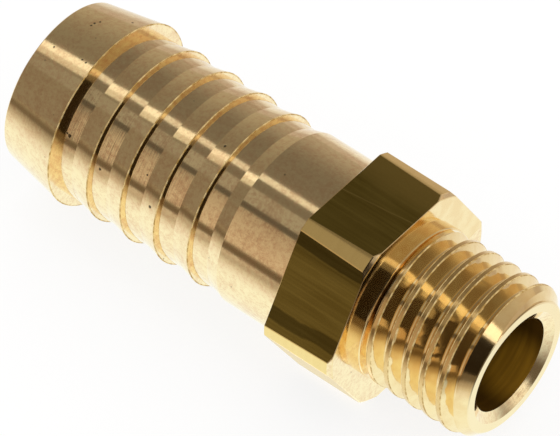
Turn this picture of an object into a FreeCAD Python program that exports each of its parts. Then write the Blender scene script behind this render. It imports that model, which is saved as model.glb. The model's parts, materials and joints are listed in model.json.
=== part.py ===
import FreeCAD, Part
import math
import os

# A brass hose nipple turned from one piece of hexagon bar. A male thread screws into a port, the hexagon
# takes a spanner, and a hose is pushed over the barbed tail.
#
# All sizes are in millimetres. The axis lies along X, with the thread towards +X and the tail towards -X.
# The origin is on the axis, in the plane of the shoulder that seats on the port. +Z is up, and the nipple
# lies on one flat of its hexagon.

# Thread end, the major diameter of a male M12 x 1.5 thread
thread_diameter = 11.85
thread_length = 9.3
thread_chamfer_length = 0.95
thread_chamfer_height = 0.85

# Plain collar against the shoulder, and the relief groove that the thread runs out into
collar_length = 0.6
relief_width = 0.45
relief_floor_width = 0.15
relief_depth = 0.6

# Hexagon, its corners turned off to a slight taper and broken at the shoulder
hex_across_flats = 15.0
hex_length = 5.75
corner_cut_at_shoulder = 0.34
corner_cut_at_tail = 0.26
corner_chamfer = 0.25

# Tail: a conical head, then smaller barbs, then a plain shank up to the hexagon
tail_length = 25.3
head_diameter = 14.5
head_length = 4.85
head_rise = 0.88
head_to_first_barb = 3.15
barb_count = 4
barb_pitch = 3.04
barb_diameter = 13.6
barb_height = 0.32
groove_floor_length = 1.5
shank_cone_length = 1.15

# Bore right through, with a wide cone at the thread's mouth and a small 45 degree one at the tail's
bore_diameter = 7.3
thread_mouth_depth = 0.4
thread_mouth_height = 0.7
tail_countersink = 0.25


def thread_outline():
    """Outline of the thread end, from its end face to the shoulder, as (x, radius)."""
    radius = thread_diameter / 2
    floor_radius = radius - relief_depth
    wall_slope = (relief_width - relief_floor_width) / 2
    relief_end = collar_length + relief_width
    return [
        (thread_length, 0),
        (thread_length, radius - thread_chamfer_height),
        (thread_length - thread_chamfer_length, radius),
        (relief_end, radius),
        (relief_end - wall_slope, floor_radius),
        (collar_length + wall_slope, floor_radius),
        (collar_length, radius),
        (0, radius),
        (0, 0),
    ]


def barb_edges():
    """Distance of each sharp edge from the tail's rim: the head's edge first, then the barbs' edges."""
    first_barb = head_length + head_to_first_barb
    return [head_length] + [first_barb + i * barb_pitch for i in range(barb_count)]


def tail_outline():
    """Outline of the tail, from its rim to the hexagon, as (x, radius)."""
    rim_x = -hex_length - tail_length
    head_radius = head_diameter / 2
    barb_radius = barb_diameter / 2
    floor_radius = barb_radius - barb_height
    edges = barb_edges()
    outline = [(rim_x, 0), (rim_x, head_radius - head_rise), (rim_x + head_length, head_radius)]
    for i, edge in enumerate(edges):
        # behind each edge the wall drops square to the groove's floor, then a cone climbs to the next edge
        floor_end = edge + groove_floor_length
        climb_end = edges[i + 1] if i + 1 < len(edges) else floor_end + shank_cone_length
        outline.append((rim_x + edge, floor_radius))
        outline.append((rim_x + floor_end, floor_radius))
        outline.append((rim_x + climb_end, barb_radius))
    return outline + [(-hex_length, barb_radius), (-hex_length, 0)]


def turned(outline):
    """Solid of revolution about the X axis from (x, radius) points."""
    corners = [FreeCAD.Vector(x, 0, radius) for x, radius in outline]
    face = Part.Face(Part.makePolygon(corners + corners[:1]))
    return face.revolve(FreeCAD.Vector(0, 0, 0), FreeCAD.Vector(1, 0, 0), 360)


def hexagon():
    """Hexagon between the shoulder and the tail, a flat facing down, with its corners turned off."""
    corner_radius = hex_across_flats / 2 / math.cos(math.pi / 6)
    angles = [i * math.pi / 3 for i in range(6)]
    corners = [FreeCAD.Vector(0, corner_radius * math.cos(a), corner_radius * math.sin(a)) for a in angles]
    bar = Part.Face(Part.makePolygon(corners + corners[:1])).extrude(FreeCAD.Vector(-hex_length, 0, 0))

    shoulder_radius = corner_radius - corner_cut_at_shoulder
    return bar.common(turned([
        (0, 0),
        (0, shoulder_radius - corner_chamfer),
        (-corner_chamfer, shoulder_radius),
        (-hex_length, corner_radius - corner_cut_at_tail),
        (-hex_length, 0),
    ]))


def bore():
    """The hole right through, opened by a short cone at each end."""
    rim_x = -hex_length - tail_length
    radius = bore_diameter / 2
    return turned([
        (thread_length, 0),
        (thread_length, radius + thread_mouth_height),
        (thread_length - thread_mouth_depth, radius),
        (rim_x + tail_countersink, radius),
        (rim_x, radius + tail_countersink),
        (rim_x, 0),
    ])


def threaded_nipple():
    """The whole nipple, one solid."""
    body = hexagon().fuse([turned(thread_outline()), turned(tail_outline())])
    return body.cut(bore()).removeSplitter()


os.makedirs("parts", exist_ok=True)
threaded_nipple().exportStep("parts/threaded_nipple.step")
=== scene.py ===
"""A brass hose nipple: a male thread, a hexagon and a barbed hose tail, turned from one hexagon bar."""

import json
import math

import bpy
from mathutils import Matrix, Vector

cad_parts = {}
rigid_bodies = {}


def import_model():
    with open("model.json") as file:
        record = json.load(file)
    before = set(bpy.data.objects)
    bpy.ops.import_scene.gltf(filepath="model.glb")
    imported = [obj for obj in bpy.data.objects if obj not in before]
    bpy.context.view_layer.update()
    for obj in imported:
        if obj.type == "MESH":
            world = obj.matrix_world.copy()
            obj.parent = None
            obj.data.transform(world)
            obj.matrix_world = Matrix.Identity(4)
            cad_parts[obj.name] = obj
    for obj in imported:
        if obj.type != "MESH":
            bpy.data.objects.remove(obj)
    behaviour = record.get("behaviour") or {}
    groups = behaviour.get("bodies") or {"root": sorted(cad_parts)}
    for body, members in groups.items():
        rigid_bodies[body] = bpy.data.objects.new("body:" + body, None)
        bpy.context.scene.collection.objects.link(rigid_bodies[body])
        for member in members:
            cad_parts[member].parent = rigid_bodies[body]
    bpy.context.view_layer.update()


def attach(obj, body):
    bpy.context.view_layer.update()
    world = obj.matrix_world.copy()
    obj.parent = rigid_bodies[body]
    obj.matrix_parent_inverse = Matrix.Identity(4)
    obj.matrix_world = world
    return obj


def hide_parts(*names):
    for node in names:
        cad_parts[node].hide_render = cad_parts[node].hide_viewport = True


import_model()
bpy.ops.object.select_all(action="DESELECT")


# The turned body. The real one is cut in a lathe from drawn brass bar, in one clamping: the tail with its head
# and four barbs, then the collar, the relief groove and the blank of the thread. Here a ring is drawn out
# along the axis from one step of the outline to the next. Sizes are in millimetres, and x is 0 at the shoulder.

mm = 0.001
onto_axis = (0, math.pi / 2, 0)
steps_around = 240
near = 0.002

rim_x = -31.05
rim_radius = 6.37
head_edge_x = -26.2
head_radius = 7.25
barb_edges_x = [-23.05, -20.01, -16.97, -13.93]
barb_radius = 6.8
floor_radius = 6.48
floor_length = 1.5
last_cone_length = 1.15

hex_length = 5.75
collar_length = 0.6
relief_end_x = 1.05
relief_wall_length = 0.15
relief_floor_radius = 5.325
thread_radius = 5.925
thread_end_x = 9.3
end_chamfer_length = 0.95
end_face_radius = 5.075

rounded_edge = 0.08
crisp_edge = 0.06
burr_width = 0.08
burr_swell = 1.004
burr_unevenness = 0.006


def turned(name, outline):
    """A closed turned solid through these (x, radius) places, its first and last rings filled."""
    x, radius = outline[0]
    bpy.ops.mesh.primitive_circle_add(
        vertices=steps_around, radius=radius * mm, fill_type="NGON", location=(x * mm, 0, 0), rotation=onto_axis
    )
    solid = bpy.context.object
    solid.name = name
    bpy.ops.object.transform_apply(location=True, rotation=True, scale=True)
    bpy.ops.object.mode_set(mode="EDIT")
    bpy.ops.mesh.select_all(action="SELECT")
    for next_x, next_radius in outline[1:]:
        bpy.ops.mesh.extrude_region_move(TRANSFORM_OT_translate={"value": ((next_x - x) * mm, 0, 0)})
        ratio = next_radius / radius
        bpy.ops.transform.resize(value=(1, ratio, ratio))
        x, radius = next_x, next_radius
    bpy.ops.mesh.select_all(action="SELECT")
    bpy.ops.mesh.normals_make_consistent(inside=False)
    bpy.ops.object.mode_set(mode="OBJECT")
    return solid


def pick_rings(solid, places):
    """Selects the edges of the rings at these (x, radius) places."""
    bpy.ops.object.mode_set(mode="EDIT")
    bpy.ops.mesh.select_mode(type="EDGE")
    bpy.ops.mesh.select_all(action="DESELECT")
    bpy.ops.object.mode_set(mode="OBJECT")
    points = [(v.co.x / mm, math.hypot(v.co.y, v.co.z) / mm) for v in solid.data.vertices]
    for edge in solid.data.edges:
        for x, radius in places:
            ends = [points[i] for i in edge.vertices]
            if all(abs(end_x - x) < near and abs(end_radius - radius) < near for end_x, end_radius in ends):
                edge.select = True
    bpy.ops.object.mode_set(mode="EDIT")


# After each edge the outline steps down to a groove's floor, then climbs a cone to the next edge or the shank
tail = [(rim_x, rim_radius), (head_edge_x, head_radius)]
cone_ends_x = barb_edges_x + [barb_edges_x[-1] + floor_length + last_cone_length]
for edge_x, cone_end_x in zip([head_edge_x] + barb_edges_x, cone_ends_x):
    tail += [(edge_x, floor_radius), (edge_x + floor_length, floor_radius), (cone_end_x, barb_radius)]

# The shank's step down to the collar lies hidden inside the hexagon
hidden_step_x = -hex_length + 0.5
thread_blank = [
    (hidden_step_x, barb_radius),
    (hidden_step_x, thread_radius),
    (collar_length, thread_radius),
    (collar_length + relief_wall_length, relief_floor_radius),
    (relief_end_x - relief_wall_length, relief_floor_radius),
    (relief_end_x, thread_radius),
    (thread_end_x - end_chamfer_length, thread_radius),
    (thread_end_x, end_face_radius),
]
nipple = turned("nipple", tail + thread_blank)

pick_rings(nipple, [(rim_x, rim_radius), (collar_length, thread_radius)])
bpy.ops.mesh.bevel(offset=rounded_edge * mm, segments=2)
pick_rings(nipple, [(thread_end_x, end_face_radius), (thread_end_x - end_chamfer_length, thread_radius)])
bpy.ops.mesh.bevel(offset=crisp_edge * mm, segments=1)

# The tool leaves a fine burr along the edges of the head and the barbs
burred_edges = [(head_edge_x, head_radius)] + [(edge_x, barb_radius) for edge_x in barb_edges_x]
for edge_x, edge_radius in burred_edges:
    pick_rings(nipple, [(edge_x, edge_radius)])
    bpy.ops.mesh.bevel(offset=burr_width * mm, segments=4)
    bpy.ops.mesh.select_less()
    bpy.ops.transform.resize(value=(1, burr_swell, burr_swell), center_override=(edge_x * mm, 0, 0))
    bpy.ops.transform.vertex_random(offset=burr_unevenness * mm, uniform=0.0, normal=1.0, seed=7)
bpy.ops.object.mode_set(mode="OBJECT")


# The hexagon. It is what is left of the bar, 15 mm across its flats, which keep the skin of the drawing die.
# Its corners are turned off, with a slight taper, and broken at the shoulder.

across_flats = 15.0
corner_radius = across_flats / 2 / math.cos(math.pi / 6)
land_at_shoulder = corner_radius - 0.34
land_past_tail = corner_radius - 0.25
corner_chamfer = 0.25
broken_edge = 0.04
sharp_angle = 15
overshoot = 1


def combine(solid, tool, operation):
    """Joins, cuts or intersects the solid with the tool, which is used up."""
    cut = solid.modifiers.new(operation, "BOOLEAN")
    cut.operation = operation
    cut.object = tool
    cut.solver = "EXACT"
    bpy.ops.object.select_all(action="DESELECT")
    bpy.context.view_layer.objects.active = solid
    solid.select_set(True)
    bpy.ops.object.modifier_apply(modifier=cut.name)
    bpy.data.objects.remove(tool)


bpy.ops.mesh.primitive_cylinder_add(
    vertices=6, radius=corner_radius * mm, depth=hex_length * mm,
    location=(-hex_length / 2 * mm, 0, 0), rotation=onto_axis
)
hexagon = bpy.context.object
bpy.ops.object.transform_apply(location=True, rotation=True, scale=True)
corner_cone = turned("corner_cone", [
    (-hex_length - overshoot, land_past_tail),
    (-corner_chamfer, land_at_shoulder),
    (overshoot, land_at_shoulder - corner_chamfer - overshoot),
])
combine(hexagon, corner_cone, "INTERSECT")
bpy.ops.object.mode_set(mode="EDIT")
bpy.ops.mesh.select_mode(type="EDGE")
bpy.ops.mesh.select_all(action="DESELECT")
bpy.ops.mesh.edges_select_sharp(sharpness=math.radians(sharp_angle))
bpy.ops.mesh.bevel(offset=broken_edge * mm, segments=1)
bpy.ops.object.mode_set(mode="OBJECT")
combine(nipple, hexagon, "UNION")


# The bore. It is drilled right through the brass, and opened at both ends: by a wide short cone at the
# thread's mouth and by a small countersink at the tail's.

bore_radius = 3.65
thread_mouth_depth = 0.4
thread_mouth_height = 0.7
tail_countersink = 0.25

drill = turned("drill", [
    (rim_x - overshoot, bore_radius + tail_countersink + overshoot),
    (rim_x + tail_countersink, bore_radius),
    (thread_end_x - thread_mouth_depth, bore_radius),
    (thread_end_x + thread_mouth_depth, bore_radius + 2 * thread_mouth_height),
])
combine(nipple, drill, "DIFFERENCE")


# The male thread, M12 x 1.5, right hand. One V groove is wound round the blank from the collar to the end
# face, and leaves a narrow crest with slightly rounded edges.

pitch = 1.5
thread_turns = 8
steps_per_turn = 120
groove_start_x = -1.242
groove_unevenness = 0.0012
smooth_angle = 9
half_groove = [(0.05, 5.05), (0.09, 5.085), (0.54, 5.866), (0.575, 5.908), (0.62, 5.924), (0.68, 6.12)]
groove = [(-beside, radius) for beside, radius in reversed(half_groove)] + half_groove

bpy.ops.mesh.primitive_circle_add(vertices=len(groove), radius=mm, fill_type="NOTHING")
coil = bpy.context.object
for vertex, (beside, radius) in zip(coil.data.vertices, groove):
    vertex.co = ((groove_start_x + beside) * mm, 0, radius * mm)
wind = coil.modifiers.new("wind", "SCREW")
wind.axis = "X"
wind.angle = 2 * math.pi
wind.screw_offset = pitch * mm
wind.iterations = thread_turns
wind.steps = wind.render_steps = steps_per_turn
wind.use_smooth_shade = False
bpy.ops.object.modifier_apply(modifier=wind.name)
bpy.ops.object.mode_set(mode="EDIT")
bpy.ops.mesh.select_all(action="SELECT")
bpy.ops.mesh.remove_doubles(threshold=0.00001 * mm)
bpy.ops.mesh.fill_holes(sides=0)
bpy.ops.mesh.select_all(action="SELECT")
bpy.ops.transform.vertex_random(offset=groove_unevenness * mm, uniform=1.0, normal=0.0, seed=3)
bpy.ops.mesh.select_all(action="SELECT")
bpy.ops.mesh.bisect(
    plane_co=(collar_length * mm, 0, 0), plane_no=(1, 0, 0), use_fill=True, clear_inner=True, threshold=0.0001 * mm
)
bpy.ops.mesh.select_all(action="SELECT")
bpy.ops.mesh.normals_make_consistent(inside=False)
bpy.ops.object.mode_set(mode="OBJECT")
combine(nipple, coil, "DIFFERENCE")
bpy.ops.object.shade_smooth_by_angle(angle=math.radians(smooth_angle))


# The brass. Each tool leaves a finish of its own: turned faces are pale and bright with fine rings, the flats
# keep the dark streaks of the drawn bar, crests and burrs are rubbed, and the bore is brown and dull. Painted
# shade darkens the left flat's edges and the bore, and a patch of light is painted inside the thread's mouth.

marks_depth = 0.02
smooth = "SMOOTHSTEP"


class Link:
    """An output of a node tree. Sums, products and comparisons of links add Math nodes to that tree."""

    def __init__(self, tree, socket=None):
        self.tree = tree
        self.socket = socket

    def node(self, kind, settings={}, inputs={}, output=0):
        """A node of this type: first its settings, then the values or links of its sockets."""
        made = self.tree.nodes.new(kind)
        for name, value in settings.items():
            if name == "stops":
                ramp = made.color_ramp.elements
                for stop, (position, colour) in zip((ramp[0], ramp[1]), (value[0], value[-1])):
                    stop.position, stop.color = position, colour
                for position, colour in value[1:-1]:
                    ramp.new(position).color = colour
            else:
                setattr(made, name, value)
        for name, value in inputs.items():
            if isinstance(value, Link):
                self.tree.links.new(value.socket, made.inputs[name])
            else:
                made.inputs[name].default_value = value
        return Link(self.tree, made.outputs[output] if made.outputs else None)

    def math(self, operation, *values):
        """A Math node of this operation on these values or links."""
        return self.node("ShaderNodeMath", {"operation": operation}, dict(enumerate(values)))

    def __add__(self, other):
        return self.math("ADD", self, other)

    __radd__ = __add__

    def __mul__(self, other):
        return self.math("MULTIPLY", self, other)

    __rmul__ = __mul__

    def __sub__(self, other):
        return self.math("SUBTRACT", self, other)

    def __rsub__(self, other):
        return self.math("SUBTRACT", other, self)

    def __gt__(self, other):
        return self.math("GREATER_THAN", self, other)

    def __lt__(self, other):
        return self.math("LESS_THAN", self, other)

    def __abs__(self):
        return self.math("ABSOLUTE", self)


def coordinate(place, axis):
    """One coordinate of a place: its X, Y or Z."""
    return place.node("ShaderNodeSeparateXYZ", {}, {0: place}, axis)


def distance(place, point):
    """How far a place is from a point."""
    return place.node("ShaderNodeVectorMath", {"operation": "DISTANCE"}, {0: place, 1: point}, "Value")


def reach(place, direction):
    """How far a place lies along a direction."""
    return place.node("ShaderNodeVectorMath", {"operation": "DOT_PRODUCT"}, {0: place, 1: direction}, "Value")


def noise(place, scale, detail, roughness=0.5):
    """Noise of one scale, or drawn out into lines by a scale for each axis."""
    if isinstance(scale, tuple):
        place = place.node("ShaderNodeMapping", {}, {"Vector": place, "Scale": scale})
        scale = 1.0
    sockets = {"Vector": place, "Scale": scale, "Detail": detail, "Roughness": roughness}
    return place.node("ShaderNodeTexNoise", {}, sockets)


def fade(value, start, end, first=0.0, last=1.0, curve="LINEAR"):
    """A number that goes from first to last while the value goes from start to end."""
    sockets = {"Value": value, "From Min": start, "From Max": end, "To Min": first, "To Max": last}
    return value.node("ShaderNodeMapRange", {"interpolation_type": curve}, sockets)


def mix(share, first, second):
    """The first colour where the share is 0, and the second where it is 1."""
    return share.node("ShaderNodeMix", {"data_type": "RGBA"}, {0: share, 6: first, 7: second}, 2)


def marks(height, strength):
    """Fine marks in the metal, from their height."""
    return height.node("ShaderNodeBump", {}, {"Height": height, "Strength": strength, "Distance": marks_depth * mm})


def around_axis(angle):
    """Unit vector square to the nipple's axis, at an angle from +Y towards +Z in degrees."""
    return Vector((0, math.cos(math.radians(angle)), math.sin(math.radians(angle))))


def finish(name):
    """A new material with an empty tree, and the link that its nodes start from."""
    material = bpy.data.materials.new(name)
    material.use_nodes = True
    material.node_tree.nodes.clear()
    return material, Link(material.node_tree)


def coat(material, tree, sockets):
    """Ends a finish with its metal, and adds it to the nipple's finishes."""
    surface = tree.node("ShaderNodeBsdfPrincipled", {}, sockets)
    tree.node("ShaderNodeOutputMaterial", {}, {"Surface": surface})
    nipple.data.materials.append(material)


# Turned faces have the rings of the tool, a reddish blush, fine black specks and some larger pits
bright = (0.99, 0.825, 0.50, 1)
blushed = (0.87, 0.63, 0.37, 1)
grime = (0.06, 0.04, 0.02, 1)

turned_brass, tree = finish("turned_brass")
place = tree.node("ShaderNodeTexCoord", output="Object")
rings = noise(place, (9000, 250, 250), 3.0)
wide_rings = noise(place, (2500, 120, 120), 2.0)
grain = noise(place, 3000.0, 4.0, roughness=0.75)
cloud = noise(place, 500.0, 3.0)
blush = fade(grain * 0.7 + cloud * 0.3, 0.44, 0.62)

# The pits: x, angle around the axis, radius there, and the pit's own radius
pits = [
    (-29.0, 81.4, 6.74, 0.09), (-29.0, 84.5, 6.74, 0.06), (-28.78, 78.6, 6.78, 0.08), (-27.15, 65.9, 7.08, 0.07),
    (-27.34, 107.8, 7.04, 0.06), (-26.97, 108.1, 7.11, 0.07), (-25.53, 151.2, 6.48, 0.13),
    (-25.79, 150.4, 6.48, 0.08), (-22.42, 159.3, 6.48, 0.09), (-17.66, 161.9, 6.66, 0.11),
    (-14.87, 104.8, 6.6, 0.09), (-18.74, 145.1, 6.48, 0.05), (-26.62, 169.3, 7.17, 0.05),
    (-29.88, 119.2, 6.58, 0.05), (-29.93, 109.5, 6.57, 0.04),
]
specks = tree.node("ShaderNodeTexVoronoi", {}, {"Vector": place, "Scale": 520.0}, "Distance")
dirt = fade(specks, 0.02, 0.05, 0.7, 0.0)
for x, angle, radius, size in pits:
    pit_middle = (Vector((x, 0, 0)) + around_axis(angle) * radius) * mm
    ragged = distance(place, pit_middle) + (grain - 0.5) * (0.3 * mm)
    pit = fade(ragged, size * 0.8 * mm, size * 1.3 * mm, 0.9, 0.0)
    dirt = tree.math("MAXIMUM", dirt, pit)
coat(turned_brass, tree, {
    "Base Color": mix(dirt, mix(blush, bright, blushed), grime),
    "Metallic": 1.0,
    "Roughness": blush * 0.06 + 0.085,
    "Normal": marks(rings * 0.35 + wide_rings * 0.35 + grain * 0.06 - dirt * 0.6, 0.3),
})

# The flats keep the skin of the drawn bar, dark and streaked along it
dark_skin = (0.20, 0.145, 0.03, 1)
pale_skin = (0.27, 0.205, 0.05, 1)
# Painted shade: the dark reflection along the left flat's edges
painted_dark_reflection = (0.0, 0.0, 0.0, 1)
rubbed_skin = (0.37, 0.27, 0.075, 1)
scratched = (0.6, 0.46, 0.18, 1)
just_inside_flat = across_flats / 2 - 0.05

drawn_brass, tree = finish("drawn_brass")
place = tree.node("ShaderNodeTexCoord", output="Object")
streaks = noise(place, (120, 4500, 4500), 4.0)
patches = noise(place, (250, 700, 700), 4.0)
skin = fade(streaks * 0.6 + patches * 0.4, 0.38, 0.62)
colour = mix(skin, dark_skin, pale_skin)

# Painted shade: a dark reflection along both edges of the flat at the left, darkest by the upper corner
across = reach(place, around_axis(60) / mm) + (patches - 0.5)
upper = fade(across, 1.8, 2.6, 0.0, 0.25, smooth) + fade(across, 2.62, 2.78, 0.0, 0.4, smooth)
lower = fade(abs(across + 2.5), 0.42, 0.58, 0.48, 0.0, smooth)
on_left = reach(place, around_axis(150) / mm) > just_inside_flat
colour = mix((upper + lower) * on_left, colour, painted_dark_reflection)

# The flat on top is rubbed brighter towards its far edge, and a faint scratch runs along its middle
on_top = coordinate(place, "Z") > just_inside_flat * mm
rubbed = fade(coordinate(place, "Y") + (patches - 0.5) * (2 * mm), 0.5 * mm, 3.5 * mm, curve=smooth)
colour = mix(rubbed * on_top, colour, rubbed_skin)
scratch_start = Vector((-5.48, -0.26, 0))
scratch_run = Vector((5.16, 0.61, 0)).normalized()
beside_scratch = Vector((-scratch_run.y, scratch_run.x, 0))
ragged = reach(place, beside_scratch / mm) + (patches - 0.5) * 0.12
scratch = fade(abs(ragged - beside_scratch.dot(scratch_start)), 0.02, 0.06, 0.28, 0.0)
coat(drawn_brass, tree, {
    "Base Color": mix(scratch * on_top, colour, scratched),
    "Metallic": 1.0,
    "Roughness": 0.22,
    "Specular Tint": (1.0, 0.86, 0.5, 1),
    "Normal": marks(streaks, 0.15),
})

# The thread, the collar and the shoulder are cut bright, and the relief groove is the palest
cut_bright = (0.95, 0.77, 0.43, 1)
cut_dull = (0.90, 0.69, 0.36, 1)
relief_pale = (0.95, 0.85, 0.64, 1)
relief_middle_x = 0.83
relief_reach = 0.2

thread_brass, tree = finish("thread_brass")
place = tree.node("ShaderNodeTexCoord", output="Object")
cuts = noise(place, (9000, 300, 300), 3.0)
cloud = fade(noise(place, 900.0, 4.0), 0.4, 0.6)
in_relief = abs(coordinate(place, "X") - relief_middle_x * mm) < relief_reach * mm
coat(thread_brass, tree, {
    "Base Color": mix(in_relief, mix(cloud, cut_bright, cut_dull), relief_pale),
    "Metallic": 1.0,
    "Roughness": 0.1,
    "Normal": marks(cuts * 0.35, 0.3),
})

# The hexagon's corners and the thread's end face are cut smoothest
smooth_cuts = {
    "corner_brass": [(0.95, 0.73, 0.31, 1), (0.86, 0.64, 0.26, 1)],
    "faced_brass": [(0.98, 0.83, 0.51, 1), (0.93, 0.745, 0.43, 1)],
}
for name, (light_line, dark_line) in smooth_cuts.items():
    smooth_brass, tree = finish(name)
    place = tree.node("ShaderNodeTexCoord", output="Object")
    lines = noise(place, (3000, 300, 300), 3.0)
    coat(smooth_brass, tree, {
        "Base Color": mix(lines, light_line, dark_line),
        "Metallic": 1.0,
        "Roughness": 0.1,
        "Normal": marks(lines, 0.05),
    })

# The crests are scuffed by handling
crest_brass, tree = finish("crest_brass")
place = tree.node("ShaderNodeTexCoord", output="Object")
scuffs = noise(place, 1500.0, 4.0)
coat(crest_brass, tree, {
    "Base Color": mix(scuffs, (0.70, 0.47, 0.19, 1), (0.90, 0.67, 0.32, 1)),
    "Metallic": 1.0,
    "Roughness": scuffs * 0.2 + 0.08,
})

# The burrs are beaded and catch the light from all sides
burr_brass, tree = finish("burr_brass")
place = tree.node("ShaderNodeTexCoord", output="Object")
beads = fade(noise(place, 2200.0, 3.0), 0.38, 0.62)
coat(burr_brass, tree, {
    "Base Color": mix(beads, (0.58, 0.36, 0.10, 1), (1.0, 0.78, 0.38, 1)),
    "Metallic": 0.5,
    "Roughness": 0.38,
})

# The bore is brown, darkened all through by painted shade but for a patch of painted light just inside the thread's
# mouth
brown = (0.22, 0.10, 0.008, 1)
amber = (0.72, 0.37, 0.03, 1)
# The painted shade of the bore, and the middle of the patch of painted light
painted_bore_shade = (0.05, 0.02, 0.002, 1)
painted_light_patch = Vector((7.7, 2.0, -3.0)) * mm

drilled_brass, tree = finish("drilled_brass")
place = tree.node("ShaderNodeTexCoord", output="Object")
drill_marks = noise(place, (2500, 200, 200), 3.0)
# Painted shade darkens the bore everywhere away from the patch of painted light
painted_shade_share = fade(distance(place, painted_light_patch), 1.0 * mm, 3.2 * mm, 0.0, 0.85, smooth)
coat(drilled_brass, tree, {
    "Base Color": mix(painted_shade_share, mix(drill_marks, brown, amber), painted_bore_shade),
    "Metallic": 0.45,
    "Roughness": 0.4,
    "Specular IOR Level": 0.2,
})

# What tells the faces apart: where their middles lie, and their tilt, from 0 along the axis to 1 square to it
flat_directions = [around_axis(angle) for angle in range(30, 390, 60)]
same_direction = 0.9999
same_place = 0.01
close = 0.05
thread_stops_x = thread_end_x - 0.2
corner_land_radius = barb_radius + 1
outside_mouth_radius = bore_radius + 0.6
crest_edge_radius = 5.86
crest_radius = 5.87
level_tilt = 0.1
crest_tilt = 0.2
flank_tilt = 0.83
square_tilt = 0.9


def finish_of(face):
    """The name of the finish that the face has from its tool."""
    x = face.center.x / mm
    radius = math.hypot(face.center.y, face.center.z) / mm
    tilt = abs(face.normal.x)
    on_hexagon = -hex_length < x < 0
    on_shoulder = abs(x) < close and tilt > square_tilt
    past_shoulder = same_place < x < thread_end_x - close
    on_thread = relief_end_x + close < x < thread_stops_x
    on_flat_plane = abs(face.center.dot(face.normal) / mm - across_flats / 2) < same_place
    if on_hexagon and on_flat_plane and any(face.normal.dot(way) > same_direction for way in flat_directions):
        return "drawn_brass"
    if on_hexagon and radius > corner_land_radius and tilt < level_tilt:
        return "corner_brass"
    if any(abs(x - edge_x) < burr_width and radius > edge_radius - burr_width for edge_x, edge_radius in burred_edges):
        return "burr_brass"
    if on_thread and radius > crest_edge_radius and crest_tilt < tilt < flank_tilt:
        return "burr_brass"
    if on_thread and radius > crest_radius and tilt < crest_tilt:
        return "crest_brass"
    if x > thread_end_x - close and tilt > square_tilt:
        return "faced_brass"
    if (past_shoulder or on_shoulder) and radius > outside_mouth_radius:
        return "thread_brass"
    if radius < bore_radius + same_place and tilt < level_tilt:
        return "drilled_brass"
    return "turned_brass"


slot_of = {material.name: slot for slot, material in enumerate(nipple.data.materials)}
for face in nipple.data.polygons:
    face.material_index = slot_of[finish_of(face)]

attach(nipple, "root")
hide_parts("threaded_nipple")


# The floor that it lies on, pale and matt. In the metal it shows a painted reflection: white near the nipple and
# falling off further out, less so along the nipple and behind it, and soonest ahead of the thread's mouth.

floor_z = -across_flats / 2 * mm
middle_x = -8 * mm
squeeze = 0.25
falls_off_to = 78 * mm
white = (1.0, 1.05, 1.03, 1)

bpy.ops.object.select_all(action="DESELECT")
bpy.ops.mesh.primitive_plane_add(size=4, location=(0, 0, floor_z))
floor = bpy.context.object
floor.name = "floor"
bpy.ops.object.transform_apply(location=True, rotation=True, scale=True)
paper, tree = finish("white_floor")
place = tree.node("ShaderNodeTexCoord", output="Object")
squeezed = tree.node("ShaderNodeVectorMath", {"operation": "MULTIPLY"}, {0: place, 1: (squeeze, 1, 1)})
ahead = fade(distance(squeezed, (squeeze * middle_x, 0, floor_z)), 15 * mm, falls_off_to)
front = tree.node("ShaderNodeValToRGB", {"stops": [
    (0.0, white),
    (0.08, (0.90, 0.87, 0.83, 1)),
    (0.18, (0.70, 0.64, 0.55, 1)),
    (0.27, (0.52, 0.45, 0.37, 1)),
    (0.48, (0.34, 0.28, 0.21, 1)),
    (0.66, (0.17, 0.13, 0.09, 1)),
    (1.0, (0.15, 0.11, 0.07, 1)),
]}, {"Fac": ahead}, "Color")
past_tail = fade(coordinate(place, "X"), -200 * mm, -80 * mm, 1.0, 0.0)
front = mix(past_tail, front, (0.30, 0.24, 0.17, 1))
outward = fade(distance(place, (middle_x, 0, floor_z)), 20 * mm, falls_off_to)
back = tree.node("ShaderNodeValToRGB", {"stops": [
    (0.0, (1, 1, 1, 1)),
    (0.45, (0.82, 0.78, 0.72, 1)),
    (1.0, (0.54, 0.45, 0.38, 1)),
]}, {"Fac": outward}, "Color")
behind = fade(coordinate(place, "Y"), 0.0, 30 * mm)
painted_reflection = mix(behind, front, back)

# Round patches of painted shadow and painted light in what the metal shows: x, y, the radii between which each fades
# out, its tone
painted_reflection_patches = [
    (37, 2, 10, 24, (0.13, 0.10, 0.07, 1)),
    (85, 22, 16, 28, (1.15, 1.1, 1.0, 1)),
    (-36, -45, 8, 18, (0.56, 0.47, 0.38, 1)),
    (-4.5, -5.5, 3.8, 5.2, (1.45, 1.45, 1.45, 1)),
]
for x, y, inner, outer, tone in painted_reflection_patches:
    from_patch = distance(place, (x * mm, y * mm, floor_z))
    painted_reflection = mix(fade(from_patch, inner * mm, outer * mm, 1.0, 0.0, smooth), painted_reflection, tone)

# The camera sees bare white paper, and the metal sees the painted reflection
camera_ray = tree.node("ShaderNodeLightPath", output="Is Camera Ray")
mirror_ray = tree.node("ShaderNodeLightPath", output="Is Glossy Ray")
seen = mix(camera_ray, painted_reflection, (1.03, 1.03, 1.03, 1))
matt = tree.node("ShaderNodeBsdfDiffuse", {}, {"Color": (0.9, 0.9, 0.9, 1)})
glow = tree.node("ShaderNodeEmission", {}, {"Color": seen, "Strength": 1.0})
surface = tree.node("ShaderNodeMixShader", {}, {0: camera_ray * 0.8 + mirror_ray, 1: matt, 2: glow})
tree.node("ShaderNodeOutputMaterial", {}, {"Surface": surface})
floor.data.materials.append(paper)


# The light: a dim room, a long strip over the nipple, and a window on its left with a dark frame. Black cloth
# behind the camera darkens what the steps and grooves mirror. All of it stands 3 m off.

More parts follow.
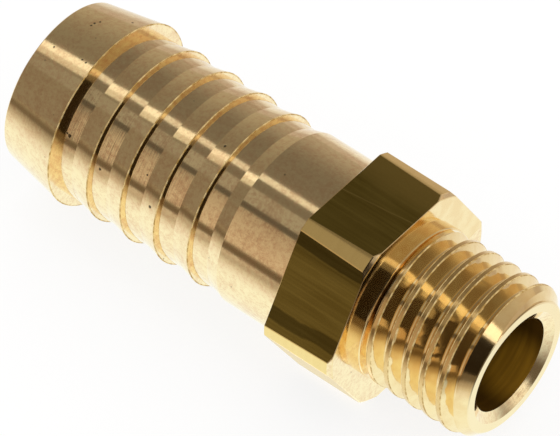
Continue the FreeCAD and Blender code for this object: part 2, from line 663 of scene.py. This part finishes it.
world = bpy.data.worlds.new("room")
bpy.context.scene.world = world
world.use_nodes = True
world.node_tree.nodes.clear()
tree = Link(world.node_tree)
toward = tree.node("ShaderNodeTexCoord", output="Generated")
low = fade(coordinate(toward, "Z"), 0.0, 0.8, 1.0, 0.0, smooth)
tail_side = fade(coordinate(toward, "X"), -0.64, -0.46, 1.0, 0.0, smooth)
thread_side = fade(coordinate(toward, "X"), -0.40, -0.26, curve=smooth)
far_side = fade(coordinate(toward, "Y"), -0.2, 0.1, curve=smooth)
far_thread_side = thread_side * far_side

low_tail = mix(far_side, (0.23, 0.19, 0.145, 1), (0.43, 0.36, 0.27, 1))
low_tone = mix(tail_side, (0.42, 0.35, 0.28, 1), low_tail)
low_tone = mix(far_thread_side, low_tone, (0.66, 0.55, 0.43, 1))
high_tone = mix(tail_side, (0.185, 0.155, 0.12, 1), (0.21, 0.175, 0.13, 1))
high_tone = mix(far_thread_side, high_tone, (0.37, 0.31, 0.23, 1))
room = tree.node("ShaderNodeBackground", {}, {"Color": mix(low, high_tone, low_tone), "Strength": 1.0})
white_room = tree.node("ShaderNodeBackground", {}, {"Color": (1, 1, 1, 1), "Strength": 1.0})
mirror_ray = tree.node("ShaderNodeLightPath", output="Is Glossy Ray")
both = tree.node("ShaderNodeMixShader", {}, {0: mirror_ray, 1: white_room, 2: room})
tree.node("ShaderNodeOutputWorld", {}, {"Surface": both})

room_radius = 3
axis_direction = Vector((1, 0, 0))


def lamp(name, at, back, run, width, length, radiance, colour):
    """A flat light that shines against the back direction. Its place and size are given for a radius of 1 m."""
    data = bpy.data.lights.new(name, "AREA")
    data.shape = "RECTANGLE"
    data.size = width * room_radius
    data.size_y = length * room_radius
    data.color = colour
    data.energy = radiance * math.pi * width * length * room_radius ** 2
    made = bpy.data.objects.new(name, data)
    bpy.context.scene.collection.objects.link(made)
    turn = Matrix((run.cross(back), run, back)).transposed().to_4x4()
    made.matrix_world = Matrix.Translation(at * room_radius) @ turn
    return data


# Lights along the nipple: the angles around the axis and the slopes along it, in metres at a radius of 1 m, that
# each lies between, its radiance and its colour
long_lights = {
    "strip_light": (89.5, 97.5, -0.60, 1.0, 0.62, (1, 0.93, 0.82)),
    "strip_left_end": (87, 97, -1.9, -0.97, 0.84, (1, 0.94, 0.84)),
    "strip_over_head": (85, 98, -0.97, -0.60, 0.92, (1, 0.94, 0.84)),
    "strip_left_edge": (97, 106, -1.9, -0.60, 0.5, (1, 0.90, 0.75)),
    "upper_window": (110, 128, -0.53, 0.1, 0.17, (1, 0.90, 0.74)),
    "upper_window_left": (110, 128, -1.4, -0.82, 0.09, (1, 0.92, 0.80)),
    "left_window": (128, 184, -1.5, -0.95, 0.035, (1, 0.66, 0.40)),
    "side_window": (136, 184, -0.53, 0.1, 0.22, (1, 0.72, 0.50)),
}
for name, (angle_from, angle_to, slope_from, slope_to, radiance, colour) in long_lights.items():
    back = around_axis((angle_from + angle_to) / 2)
    at = back + axis_direction * (slope_from + slope_to) / 2
    width = 2 * math.tan(math.radians(angle_to - angle_from) / 2)
    lamp(name, at, back, axis_direction, width, slope_to - slope_from, radiance, colour)

# A small round light for what faces the thread's end
end_light_width = 0.26
back = Vector((0.83, 0.01, 0.55)).normalized()
level = Vector((0, 0, 1)).cross(back).normalized()
end_light = lamp("end_light", back, back, level, end_light_width, end_light_width, 0.9, (1, 0.95, 0.88))
end_light.shape = "ELLIPSE"

# Dark sheets bent round the nipple's axis, just inside the lights, which only the metal shows: the angles and
# slopes that each lies between, and its tone
sheet_radius = 0.97
dark_sheets = {
    "window_frame": (112, 154, -0.82, -0.526, (0.05, 0.035, 0.02, 1)),
    "lower_frame": (154, 190, -0.82, -0.508, (0.05, 0.035, 0.02, 1)),
    "window_bar": (128.5, 135, -0.526, 0.1, (0.11, 0.09, 0.07, 1)),
    "black_cloth": (106, 186, 0.25, 2.4, (0.022, 0.015, 0.008, 1)),
}
for name, (angle_from, angle_to, slope_from, slope_to, tone) in dark_sheets.items():
    bpy.ops.object.select_all(action="DESELECT")
    bpy.ops.mesh.primitive_cylinder_add(
        vertices=180, radius=sheet_radius * room_radius, depth=(slope_to - slope_from) * room_radius,
        end_fill_type="NOTHING", location=((slope_from + slope_to) / 2 * room_radius, 0, 0), rotation=onto_axis
    )
    sheet = bpy.context.object
    sheet.name = name
    bpy.ops.object.transform_apply(location=True, rotation=True, scale=True)
    bpy.ops.object.mode_set(mode="EDIT")
    for normal in (around_axis(angle_from + 90), around_axis(angle_to - 90)):
        bpy.ops.mesh.select_all(action="SELECT")
        bpy.ops.mesh.bisect(plane_co=(0, 0, 0), plane_no=normal, clear_inner=True)
    bpy.ops.object.mode_set(mode="OBJECT")
    cloth, tree = finish(name)
    glow = tree.node("ShaderNodeEmission", {}, {"Color": tone, "Strength": 1.0})
    tree.node("ShaderNodeOutputMaterial", {}, {"Surface": glow})
    cloth.cycles.emission_sampling = "NONE"
    sheet.data.materials.append(cloth)
    sheet.visible_camera = False
    sheet.visible_diffuse = False


# The camera stands 0.4 m from the nipple, at its thread end, above it and to its left. The long lens shows it
# with the slight perspective of the photograph.

lens = bpy.data.cameras.new("camera")
lens.lens = 383.17
lens.sensor_width = 36
lens.sensor_fit = "HORIZONTAL"
lens.clip_start = 0.01
camera = bpy.data.objects.new("camera", lens)
bpy.context.scene.collection.objects.link(camera)
right = Vector((0.76716, 0.64140, 0.00853))
up = Vector((-0.48679, 0.57347, 0.65892))
back = Vector((0.41774, -0.50965, 0.75216))
turn = Matrix((right, up, back)).transposed().to_4x4()
camera.matrix_world = Matrix.Translation((0.16001, -0.20903, 0.30860)) @ turn
bpy.context.scene.camera = camera
bpy.context.scene.view_settings.view_transform = "Standard"
